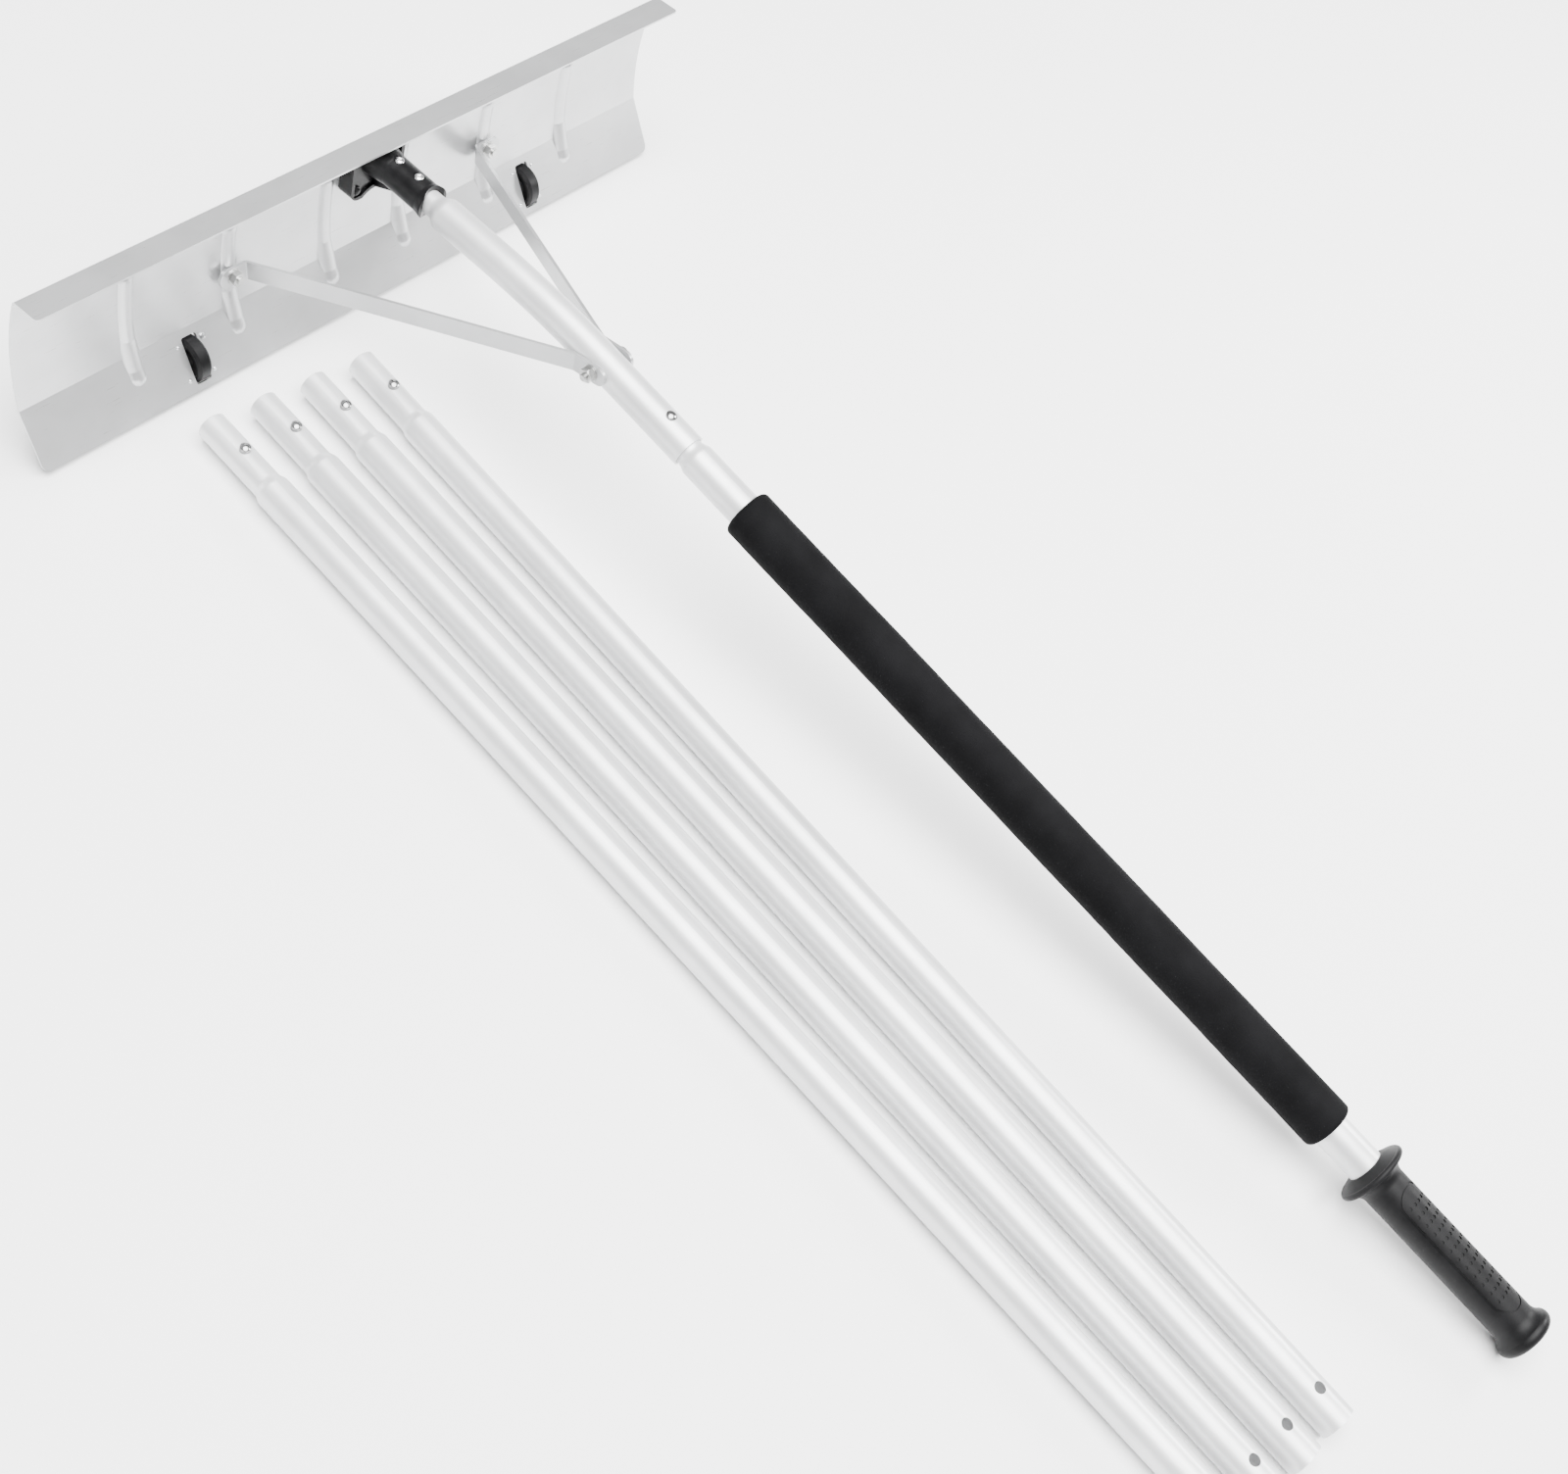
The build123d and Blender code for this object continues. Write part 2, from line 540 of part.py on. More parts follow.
with BuildPart() as brace_pole_washers:
    for start in (tab_face, -grip_face):
        with BuildSketch(cross_plane.offset(start)):
            Circle(WASHER_RADIUS)
            Circle(BOLT_RADIUS + SHANK_GAP, mode=Mode.SUBTRACT)
        extrude(amount=WASHER_THICK)
finish(brace_pole_washers, "brace_pole_washers")

# bolts through the blade's beads, heads behind and nuts towards the handle
HEAD_BEHIND = 5.2
blade_bolt_planes = [
    Plane(BRACE_FOOT + Vector(side * BEAD_X[1], 0, 0), x_dir=(1, 0, 0), z_dir=BRACE_OUT)
    for side in SIDES
]
nut_seat = BRACE_THICK + WASHER_THICK
with BuildPart() as brace_blade_bolts:
    for plane in blade_bolt_planes:
        with BuildSketch(plane.offset(-HEAD_BEHIND - 3)):
            Circle(BOLT_HEAD - 0.7)
        extrude(amount=2.6)
        with BuildSketch(plane.offset(-HEAD_BEHIND - 1)):
            Circle(BOLT_RADIUS)
        extrude(amount=HEAD_BEHIND + 1 + nut_seat + NUT_HEIGHT + 2)
finish(brace_blade_bolts, "brace_blade_bolts")

with BuildPart() as brace_blade_nuts:
    for plane in blade_bolt_planes:
        with BuildSketch(plane.offset(nut_seat)):
            RegularPolygon(NUT_FLATS / 2, 6, major_radius=False)
            Circle(BOLT_RADIUS + SHANK_GAP, mode=Mode.SUBTRACT)
        extrude(amount=NUT_HEIGHT)
finish(brace_blade_nuts, "brace_blade_nuts")

with BuildPart() as brace_blade_washers:
    for plane in blade_bolt_planes:
        with BuildSketch(plane.offset(BRACE_THICK)):
            Circle(WASHER_RADIUS)
            Circle(BOLT_RADIUS + SHANK_GAP, mode=Mode.SUBTRACT)
        extrude(amount=WASHER_THICK)
finish(brace_blade_washers, "brace_blade_washers")

# ---------------------------------------------------------------- blade wheels
cheek_start = WHEEL_WIDTH / 2 + CHEEK_GAP
for name, side in (("left", -1), ("right", 1)):
    centre = side * WHEEL_X
    axle_plane = side_plane(centre)
    axle_at = blade_point(centre, AXLE_SIDE)

    with BuildPart() as wheel_bracket:
        with BuildSketch(facing_plane(centre, lip_point(WHEEL_ON_LIP, SHEET), LIP_OUT)):
            RectangleRounded(BRACKET_WIDTH, BRACKET_LENGTH, 3)
            Rectangle(2 * cheek_start, SLOT_LENGTH, mode=Mode.SUBTRACT)
        extrude(amount=-SHEET)
        for cheek in (-cheek_start - SHEET, cheek_start):
            with BuildSketch(side_plane(centre + cheek)):
                Polygon(
                    lip_point(WHEEL_ON_LIP - 15, SHEET),
                    lip_point(WHEEL_ON_LIP + 15, SHEET),
                    lip_point(WHEEL_ON_LIP + CHEEK_RADIUS - 1, WHEEL_SETBACK + 3),
                    lip_point(WHEEL_ON_LIP - CHEEK_RADIUS + 1, WHEEL_SETBACK + 3),
                    align=None,
                )
                with Locations(AXLE_SIDE):
                    Circle(CHEEK_RADIUS)
                    Circle(AXLE_RADIUS + SHANK_GAP, mode=Mode.SUBTRACT)
            extrude(amount=SHEET)
        for x, along in wheel_rivet_spots:
            with BuildSketch(facing_plane(x, lip_point(along, 0), LIP_OUT)):
                Circle(SMALL_SHANK + SHANK_GAP)
            extrude(amount=-3 * SHEET, mode=Mode.SUBTRACT)
    finish(wheel_bracket, f"wheel_bracket_{name}")

    with BuildPart() as wheel_axle:
        with BuildSketch(Plane(axle_at, z_dir=(1, 0, 0)).offset(-cheek_start - SHEET - 1.5)):
            Circle(AXLE_RADIUS + 1.5)
        extrude(amount=1.5)
        with BuildSketch(Plane(axle_at, z_dir=(1, 0, 0)).offset(-cheek_start - SHEET)):
            Circle(AXLE_RADIUS)
        extrude(amount=2 * (cheek_start + SHEET))
        with BuildSketch(Plane(axle_at, z_dir=(1, 0, 0)).offset(cheek_start + SHEET)):
            Circle(AXLE_RADIUS + 1.5)
        extrude(amount=1.5)
    finish(wheel_axle, f"wheel_axle_{name}")

    with BuildPart() as wheel:
        with BuildSketch(Plane(axle_at, x_dir=(1, 0, 0), z_dir=(0, -1, 0))):
            Polygon(
                (-WHEEL_WIDTH / 2, AXLE_RADIUS + RUNNING_GAP),
                (-WHEEL_WIDTH / 2, 6),
                (-WHEEL_WIDTH / 2 + 2, 8),
                (-WHEEL_WIDTH / 2 + 2, WHEEL_RADIUS - 5),
                (-WHEEL_WIDTH / 2, WHEEL_RADIUS - 4),
                (-WHEEL_WIDTH / 2, WHEEL_RADIUS - 2),
                (-WHEEL_WIDTH / 2 + 2, WHEEL_RADIUS),
                (WHEEL_WIDTH / 2 - 2, WHEEL_RADIUS),
                (WHEEL_WIDTH / 2, WHEEL_RADIUS - 2),
                (WHEEL_WIDTH / 2, WHEEL_RADIUS - 4),
                (WHEEL_WIDTH / 2 - 2, WHEEL_RADIUS - 5),
                (WHEEL_WIDTH / 2 - 2, 8),
                (WHEEL_WIDTH / 2, 6),
                (WHEEL_WIDTH / 2, AXLE_RADIUS + RUNNING_GAP),
                align=None,
            )
        revolve(axis=Axis(axle_at, (1, 0, 0)))
    finish(wheel, f"wheel_{name}")

with BuildPart() as wheel_bracket_rivets:
    for x, along in wheel_rivet_spots:
        rivet_plane = facing_plane(x, lip_point(along, 0), LIP_OUT)
        with BuildSketch(rivet_plane):
            Circle(SMALL_HEAD)
        extrude(amount=1.2, taper=25)
        with BuildSketch(rivet_plane.offset(-2 * SHEET - 1)):
            Circle(SMALL_HEAD)
        extrude(amount=1)
        with BuildSketch(rivet_plane.offset(-2 * SHEET - 0.5)):
            Circle(SMALL_SHANK)
        extrude(amount=2 * SHEET + 1)
finish(wheel_bracket_rivets, "wheel_bracket_rivets")

# ---------------------------------------------------------------- tubes, leaf springs, buttons
NECK_BORE = NECK_RADIUS - TUBE_WALL
TUBE_BORE = TUBE_RADIUS - TUBE_WALL
leaf_low = -sqrt(NECK_BORE**2 - (LEAF_WIDTH / 2)**2)


def tube_outline(length):
    """Half section of a tube with one end swaged down: along from the neck's tip, radius."""
    shoulder = NECK_LENGTH + SHOULDER
    return [
        (0, NECK_BORE),
        (0, NECK_RADIUS - 0.5),
        (0.5, NECK_RADIUS),
        *swage(NECK_LENGTH, shoulder, NECK_RADIUS, TUBE_RADIUS),
        (length, TUBE_RADIUS),
        (length, TUBE_BORE),
        *reversed(swage(NECK_LENGTH, shoulder, NECK_BORE, TUBE_BORE)),
    ]


def leaf_ends():
    """The spring strip's four corners in the side view: along from the button, then up."""
    top = BUTTON_FOOT - LEAF_THICK / 2
    low = leaf_low + LEAF_THICK / 2
    return [(-LEAF_BEHIND, low), (LEAF_REACH, low), (LEAF_REACH, top), (-LEAF_BEHIND, top)]


# half section of a button: out from its axis, then up from the tube's axis
dome_radius = (BUTTON_RADIUS**2 + BUTTON_DOME**2) / (2 * BUTTON_DOME)
dome_half_turn = asin(BUTTON_RADIUS / dome_radius) / 2
dome_middle = (dome_radius * sin(dome_half_turn), BUTTON_TOP - dome_radius * (1 - cos(dome_half_turn)))
button_outline = [
    (0, BUTTON_FOOT),
    (BUTTON_FOOT_RADIUS, BUTTON_FOOT),
    (BUTTON_FOOT_RADIUS, BUTTON_FOOT + 1),
    (BUTTON_RADIUS, BUTTON_FOOT + 1),
    (BUTTON_RADIUS, BUTTON_TOP - BUTTON_DOME),
]

tube_starts = [JOINT + POLE_DIR * (-HOLE_FROM_END - BUTTON_FROM_TIP)]
tube_runs = [POLE_DIR]
for index in range(EXTENSION_COUNT):
    step = EXTENSION_COUNT - 1 - index
    start_x = EXTENSION_X - EXTENSION_PITCH * step
    start_y = CREASE_Y - EXTENSION_FROM_CREASE + EXTENSION_STAGGER * step
    tube_starts.append(Vector(start_x, start_y, TUBE_RADIUS))
    yaw = radians(EXTENSION_YAWS[step])
    tube_runs.append(Vector(-sin(yaw), -cos(yaw), 0))

for index, (start, along) in enumerate(zip(tube_starts, tube_runs)):
    section = side_view(start, along)
    up = section.y_dir
    button_at = start + along * BUTTON_FROM_TIP
    handle_length = HANDLE_REACH - BUTT_BACK - 4 + HOLE_FROM_END + BUTTON_FROM_TIP
    length = handle_length if index == 0 else EXTENSION_LENGTH
    tube_name = "pole_tube" if index == 0 else f"extension_tube_{index}"
    spring_name = "pole_button_spring" if index == 0 else f"extension_button_spring_{index}"
    button_name = "pole_button" if index == 0 else f"extension_button_{index}"

    with BuildPart() as tube:
        with BuildSketch(section):
            Polygon(*tube_outline(length), align=None)
        revolve(axis=Axis(start, along))
        with BuildSketch(Plane(button_at, z_dir=up)):
            Circle(HOLE_RADIUS)
        extrude(amount=2 * TUBE_RADIUS, mode=Mode.SUBTRACT)
        if index > 0:
            with BuildSketch(Plane(start + along * (length - HOLE_FROM_END), z_dir=up)):
                Circle(HOLE_RADIUS)
            extrude(amount=2 * TUBE_RADIUS, mode=Mode.SUBTRACT)
    finish(tube, tube_name)

    low_free, low_bend, top_bend, top_free = leaf_ends()
    with BuildPart() as leaf:
        with BuildSketch(side_view(button_at, along)):
            with BuildLine():
                Line(low_free, low_bend)
                SagittaArc(low_bend, top_bend, -(top_bend[1] - low_bend[1]) / 2)
                Line(top_bend, top_free)
                offset(amount=LEAF_THICK / 2, side=Side.BOTH)
            make_face()
        extrude(amount=LEAF_WIDTH / 2, both=True)
    finish(leaf, spring_name)

    with BuildPart() as button:
        with BuildSketch(side_view(button_at, along)):
            with BuildLine():
                Polyline(*button_outline)
                ThreePointArc(button_outline[-1], dome_middle, (0, BUTTON_TOP))
                Line((0, BUTTON_TOP), (0, BUTTON_FOOT))
            make_face()
        revolve(axis=Axis(button_at, up))
    finish(button, button_name)

# ---------------------------------------------------------------- foam sleeve and hand grip
sleeve_bore = TUBE_RADIUS + GLUE_GAP
with BuildPart() as foam_sleeve:
    with BuildSketch(side_view(JOINT + POLE_DIR * FOAM_START, POLE_DIR)):
        with BuildLine():
            Polyline((0, FOAM_RADIUS - FOAM_ROUND), (0, sleeve_bore), (FOAM_LENGTH, sleeve_bore),
                     (FOAM_LENGTH, FOAM_RADIUS - FOAM_ROUND))
            RadiusArc((FOAM_LENGTH, FOAM_RADIUS - FOAM_ROUND),
                      (FOAM_LENGTH - FOAM_ROUND, FOAM_RADIUS), -FOAM_ROUND)
            Line((FOAM_LENGTH - FOAM_ROUND, FOAM_RADIUS), (FOAM_ROUND, FOAM_RADIUS))
            RadiusArc((FOAM_ROUND, FOAM_RADIUS), (0, FOAM_RADIUS - FOAM_ROUND), -FOAM_ROUND)
        make_face()
    revolve(axis=POLE_AXIS)
finish(foam_sleeve, "foam_sleeve")

GUARD_FACE = 4.0
BODY_START = 19.0
FLARE_START = 138.0
butt = HANDLE_REACH - GRIP_START
DIMPLE_ROWS = 12
DIMPLE_PITCH = 7.5
DIMPLE_ANGLES = (-32, -16, 0, 16, 32)
DIMPLE_RADIUS = 1.3
DIMPLE_DEPTH = 0.7
PANEL_START = 24.0
PANEL_LENGTH = 108.0
PANEL_WIDTH = 26.0
GROOVE_WIDTH = 1.4
panel_middle = JOINT + POLE_DIR * (GRIP_START + PANEL_START + PANEL_LENGTH / 2)

with BuildPart() as panel_groove:
    with BuildSketch(Plane(panel_middle, POLE_DIR, POLE_UP)):
        RectangleRounded(PANEL_LENGTH, PANEL_WIDTH, PANEL_WIDTH / 2.2)
        offset(amount=-GROOVE_WIDTH, mode=Mode.SUBTRACT)
    extrude(amount=2 * GRIP_RADIUS)
    with BuildSketch(Plane(panel_middle - POLE_DIR * PANEL_LENGTH, z_dir=POLE_DIR)):
        Circle(GRIP_RADIUS - DIMPLE_DEPTH)
    extrude(amount=2 * PANEL_LENGTH, mode=Mode.SUBTRACT)

with BuildPart() as hand_grip:
    with BuildSketch(side_view(JOINT + POLE_DIR * GRIP_START, POLE_DIR)):
        with BuildLine():
            Polyline((butt - 7.5, 0), (butt - 7.5, sleeve_bore), (0, sleeve_bore), (0, sleeve_bore + 1.6))
            Line((0, sleeve_bore + 1.6), (GUARD_FACE, GUARD_RADIUS - 2.4))
            ThreePointArc((GUARD_FACE, GUARD_RADIUS - 2.4), (GUARD_FACE + 2.2, GUARD_RADIUS),
                          (GUARD_FACE + 4.4, GUARD_RADIUS - 1.6))
            ThreePointArc((GUARD_FACE + 4.4, GUARD_RADIUS - 1.6), (11.2, GRIP_RADIUS + 2.8),
                          (BODY_START, GRIP_RADIUS))
            Line((BODY_START, GRIP_RADIUS), (FLARE_START, GRIP_RADIUS))
            ThreePointArc((FLARE_START, GRIP_RADIUS), (butt - 13.5, GRIP_RADIUS + 1.6),
                          (butt - 10.5, BUTT_RADIUS - 1))
            ThreePointArc((butt - 10.5, BUTT_RADIUS - 1), (butt - BUTT_BACK, BUTT_RADIUS),
                          (butt - 3, BUTT_RADIUS - 2.4))
            ThreePointArc((butt - 3, BUTT_RADIUS - 2.4), (butt - 0.8, 11), (butt, 0))
            Line((butt, 0), (butt - 7.5, 0))
        make_face()
    revolve(axis=POLE_AXIS)
    with BuildSketch(Plane(JOINT + POLE_DIR * (HANDLE_REACH - 7), z_dir=POLE_DIR)):
        Circle(2.5)
    extrude(amount=8, mode=Mode.SUBTRACT)
    # outline and dimples of the upper palm panel
    add(panel_groove.part, mode=Mode.SUBTRACT)
    for angle in DIMPLE_ANGLES:
        lean = POLE_UP.rotate(Axis((0, 0, 0), POLE_DIR), angle)
        with BuildSketch(Plane(panel_middle + lean * (GRIP_RADIUS - DIMPLE_DEPTH), POLE_DIR, lean)):
            with GridLocations(DIMPLE_PITCH, 1, DIMPLE_ROWS, 1):
                Circle(DIMPLE_RADIUS)
        extrude(amount=2 * DIMPLE_DEPTH, mode=Mode.SUBTRACT)
finish(hand_grip, "hand_grip")
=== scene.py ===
"""A roof snow rake's finishes, soft parts, small fasteners, floor, light and camera.

Laid out as an add-on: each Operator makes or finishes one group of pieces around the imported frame.
"""

import math

import bmesh
import bpy
from bpy.props import FloatProperty, FloatVectorProperty, PointerProperty
from bpy.types import Operator, Panel, PropertyGroup
from mathutils import Matrix, Vector, noise


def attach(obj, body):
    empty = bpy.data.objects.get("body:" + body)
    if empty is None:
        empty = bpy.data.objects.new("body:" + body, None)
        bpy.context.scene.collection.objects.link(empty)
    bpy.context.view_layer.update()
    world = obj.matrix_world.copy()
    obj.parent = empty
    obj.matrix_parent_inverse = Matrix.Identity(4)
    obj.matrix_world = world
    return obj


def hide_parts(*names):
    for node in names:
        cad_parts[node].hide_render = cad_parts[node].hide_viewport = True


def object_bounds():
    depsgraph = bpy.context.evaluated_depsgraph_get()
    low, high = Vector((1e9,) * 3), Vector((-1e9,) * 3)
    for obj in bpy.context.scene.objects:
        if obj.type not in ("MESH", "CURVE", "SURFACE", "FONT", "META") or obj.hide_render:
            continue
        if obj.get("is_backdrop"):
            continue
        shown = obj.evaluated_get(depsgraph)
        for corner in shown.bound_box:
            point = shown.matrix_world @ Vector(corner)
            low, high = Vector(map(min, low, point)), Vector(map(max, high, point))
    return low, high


bl_info = {
    "name": "Roof snow rake finishes",
    "version": (1, 0, 0),
    "blender": (4, 5, 0),
    "location": "3D View > Sidebar > Rake",
    "description": "Dresses a roof snow rake: metal, foam sleeve, rubber grip, rivets, stage",
    "category": "Object",
}

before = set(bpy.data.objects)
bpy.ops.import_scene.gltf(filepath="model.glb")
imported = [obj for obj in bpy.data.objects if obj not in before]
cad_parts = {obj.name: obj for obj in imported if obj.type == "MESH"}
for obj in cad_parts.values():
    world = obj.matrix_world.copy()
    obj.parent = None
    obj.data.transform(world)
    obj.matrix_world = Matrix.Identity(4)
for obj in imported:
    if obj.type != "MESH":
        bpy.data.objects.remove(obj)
CAD_BOX = [list(corner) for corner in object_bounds()]
MM = 0.001
BOX_SLACK = 10 * MM
SLEEVE_SHORTEST = 0.1
SLEEVE_LIP = 4.0 * MM
SLEEVE_STEPS = 150
SLEEVE_AROUND = 96
END_FACE = 12.0 * MM
RIVET_SHANK_SHARE = 0.55
FASTENER_AROUND = 40
DOME_STEPS = 10
HANDLE_PITCH = -0.112
LOOSE_TUBE_YAW = math.radians(3.8)


# ------------------------------------------------------------------ material helpers
class Recipe:
    """Builds one procedural material, node by node, on the object's own coordinates."""

    def __init__(self, name, color, metallic, roughness):
        self.material = bpy.data.materials.new(name)
        self.material.use_nodes = True
        self.nodes = self.material.node_tree.nodes
        self.links = self.material.node_tree.links
        self.shader = self.nodes["Principled BSDF"]
        self.shader.inputs["Base Color"].default_value = (*color, 1.0)
        self.shader.inputs["Metallic"].default_value = metallic
        self.shader.inputs["Roughness"].default_value = roughness
        self.coordinates = self.nodes.new("ShaderNodeTexCoord")
        self.color = tuple(color)
        self.roughness = roughness

    def mapped(self, scale=(1, 1, 1), turn=(0, 0, 0)):
        """Object coordinates, turned so that a grain can run along a piece, then stretched."""
        mapping = self.nodes.new("ShaderNodeMapping")
        mapping.inputs["Rotation"].default_value = turn
        mapping.inputs["Scale"].default_value = scale
        self.links.new(self.coordinates.outputs["Object"], mapping.inputs["Vector"])
        return mapping.outputs["Vector"]

    def noise(self, scale, detail=3.0, stretch=(1, 1, 1), turn=(0, 0, 0), roughness=0.55):
        """A noise field at that many waves to the metre."""
        texture = self.nodes.new("ShaderNodeTexNoise")
        texture.inputs["Scale"].default_value = scale
        texture.inputs["Detail"].default_value = detail
        texture.inputs["Roughness"].default_value = roughness
        self.links.new(self.mapped(stretch, turn), texture.inputs["Vector"])
        return texture.outputs["Fac"]

    def cells(self, scale):
        """Distance to the nearest cell centre, for pores and pebbling."""
        texture = self.nodes.new("ShaderNodeTexVoronoi")
        texture.inputs["Scale"].default_value = scale
        self.links.new(self.mapped(), texture.inputs["Vector"])
        return texture.outputs["Distance"]

    def span(self, field, low, high, start=0.3, end=0.7):
        """Maps a field's middle range onto low to high."""
        ranged = self.nodes.new("ShaderNodeMapRange")
        ranged.inputs["From Min"].default_value = start
        ranged.inputs["From Max"].default_value = end
        ranged.inputs["To Min"].default_value = low
        ranged.inputs["To Max"].default_value = high
        self.links.new(field, ranged.inputs["Value"])
        return ranged.outputs["Result"]

    def vary_roughness(self, field, spread):
        """Roughness wanders by spread either side of its own value."""
        result = self.span(field, self.roughness - spread, self.roughness + spread)
        self.links.new(result, self.shader.inputs["Roughness"])

    def vary_color(self, field, other, start=0.35, end=0.65):
        """Colour moves from the base towards another as the field grows."""
        mix = self.nodes.new("ShaderNodeMix")
        mix.data_type = "RGBA"
        mix.inputs["A"].default_value = (*self.color, 1.0)
        mix.inputs["B"].default_value = (*other, 1.0)
        self.links.new(self.span(field, 0.0, 1.0, start, end), mix.inputs["Factor"])
        self.links.new(mix.outputs["Result"], self.shader.inputs["Base Color"])

    def bump(self, field, depth, after=None):
        """Presses a field into the surface, depth in metres, on top of an earlier bump."""
        bump = self.nodes.new("ShaderNodeBump")
        bump.inputs["Strength"].default_value = 1.0
        bump.inputs["Distance"].default_value = depth
        self.links.new(field, bump.inputs["Height"])
        if after is not None:
            self.links.new(after, bump.inputs["Normal"])
        self.links.new(bump.outputs["Normal"], self.shader.inputs["Normal"])
        return bump.outputs["Normal"]


def metal(name, color, roughness, grain_turn=(0, 0, 0), grain=(1, 40, 40), grain_depth=1.5e-6,
          bareness=1.0):
    """Bare or anodised metal: drawn grain along one way, cloudy dulling and fine handling marks."""
    recipe = Recipe(name, color, bareness, roughness)
    lines = recipe.noise(45.0, 4.0, grain, grain_turn, 0.7)
    cloud = recipe.noise(22.0, 3.0)
    dull = tuple(channel * 0.9 for channel in color)
    recipe.vary_color(cloud, dull)
    recipe.vary_roughness(lines, 0.03)
    first = recipe.bump(lines, grain_depth)
    recipe.bump(recipe.noise(900.0, 2.0), 3e-6, first)
    return recipe.material


def moulded(name, color, roughness, pebble, depth, coat=0.0):
    """Moulded plastic or rubber: fine pebbled skin with slightly uneven gloss."""
    recipe = Recipe(name, color, 0.0, roughness)
    cloud = recipe.noise(60.0, 4.0)
    pale = tuple(min(1.0, channel * 1.6 + 0.001) for channel in color)
    recipe.vary_color(cloud, pale)
    recipe.vary_roughness(cloud, 0.07)
    recipe.bump(recipe.noise(pebble, 2.0), depth)
    recipe.shader.inputs["Specular IOR Level"].default_value = 0.14
    recipe.shader.inputs["Coat Weight"].default_value = coat
    recipe.shader.inputs["Coat Roughness"].default_value = 0.25
    return recipe.material


def foam(name, color):
    """Closed-cell foam: matt, uneven in tone, with small burst pores."""
    recipe = Recipe(name, color, 0.0, 0.78)
    cloud = recipe.noise(30.0, 4.0)
    recipe.vary_color(cloud, tuple(channel * 1.6 for channel in color))
    pores = recipe.bump(recipe.span(recipe.cells(900.0), 0.0, 1.0, 0.05, 0.45), 1.2e-4)
    recipe.bump(recipe.noise(240.0, 3.0), 1.5e-4, pores)
    recipe.shader.inputs["Specular IOR Level"].default_value = 0.05
    return recipe.material


def add_piece(name, mesh, body, nodes):
    """Puts a finished mesh in the scene, riding on a body in place of the frame's nodes."""
    piece = bpy.data.objects.new(name, mesh)
    bpy.context.scene.collection.objects.link(piece)
    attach(piece, body)
    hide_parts(*nodes)
    return piece


def mesh_from(bm, name):
    """Closes a bmesh into a smooth-shaded mesh with its faces outward."""
    bmesh.ops.recalc_face_normals(bm, faces=bm.faces)
    mesh = bpy.data.meshes.new(name)
    bm.to_mesh(mesh)
    bm.free()
    for polygon in mesh.polygons:
        polygon.use_smooth = True
    return mesh


def lathe(profile, around, wobble=None):
    """Turns a closed loop of (along, radius) about +X; wobble(along, angle) adds to the radius."""
    bm = bmesh.new()
    rings = []
    for step in range(around):
        angle = math.tau * step / around
        ring = []
        for along, radius, soft in profile:
            reach = radius + (wobble(along, angle) * soft if wobble else 0.0)
            ring.append(bm.verts.new((along, reach * math.cos(angle), reach * math.sin(angle))))
        rings.append(ring)
    count = len(profile)
    for step in range(around):
        here, following = rings[step], rings[(step + 1) % around]
        for i in range(count):
            j = (i + 1) % count
            bm.faces.new((here[i], here[j], following[j], following[i]))
    return bm


def bits(obj):
    """The separate bits of a frame mesh: each one's points, and its flat faces as (way, area)."""
    mesh = obj.data
    first = {}
    parent = list(range(len(mesh.vertices)))

    def root(i):
        while parent[i] != i:
            parent[i] = parent[parent[i]]
            i = parent[i]
        return i

    for vertex in mesh.vertices:
        key = tuple(round(c, 6) for c in vertex.co)
        parent[root(vertex.index)] = root(first.setdefault(key, vertex.index))
    for edge in mesh.edges:
        parent[root(edge.vertices[0])] = root(edge.vertices[1])
    points, flats = {}, {}
    for vertex in mesh.vertices:
        points.setdefault(root(vertex.index), []).append(vertex.co.copy())
    for polygon in mesh.polygons:
        known = flats.setdefault(root(polygon.vertices[0]), [])
        for flat in known:
            if abs(flat[0].dot(polygon.normal)) > 0.9995:
                flat[1] += polygon.area
                break
        else:
            known.append([polygon.normal.copy(), polygon.area])
    return [(points[key], flats[key]) for key in points]


def paint(node, material):
    """Gives a carried-over piece of the frame its finish."""
    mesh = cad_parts[node].data
    mesh.materials.clear()
    mesh.materials.append(material)


# ------------------------------------------------------------------ settings
class RakeSettings(PropertyGroup):
    """Sizes and colours of the dressed rake."""

    sheet_color: FloatVectorProperty(
        name="Sheet colour", description="Bare aluminium of the blade",
        subtype="COLOR", size=3, min=0, max=1, default=(0.58, 0.585, 0.59))
    tube_color: FloatVectorProperty(
        name="Tube colour", description="Matt anodised aluminium of the tubes",
        subtype="COLOR", size=3, min=0, max=1, default=(0.70, 0.705, 0.71))
    bar_color: FloatVectorProperty(
        name="Brace colour", description="Mill-finish flat bar of the braces",
        subtype="COLOR", size=3, min=0, max=1, default=(0.52, 0.525, 0.53))
    plastic_color: FloatVectorProperty(
        name="Plastic colour", description="Moulded socket and wheels",
        subtype="COLOR", size=3, min=0, max=1, default=(0.0035, 0.0035, 0.0038))
    rubber_color: FloatVectorProperty(
        name="Rubber colour", description="Hand grip",
        subtype="COLOR", size=3, min=0, max=1, default=(0.003, 0.003, 0.0033))
    foam_color: FloatVectorProperty(
        name="Foam colour", description="Padded sleeve",
        subtype="COLOR", size=3, min=0, max=1, default=(0.003, 0.003, 0.0033))
    sleeve_unevenness: FloatProperty(
        name="Sleeve unevenness", description="Height of the foam skin's soft swells",
        subtype="DISTANCE", unit="LENGTH", min=0, max=0.002, default=0.0004)
    floor_color: FloatVectorProperty(
        name="Floor colour", description="Plain pale floor",
        subtype="COLOR", size=3, min=0, max=1, default=(0.93, 0.93, 0.93))


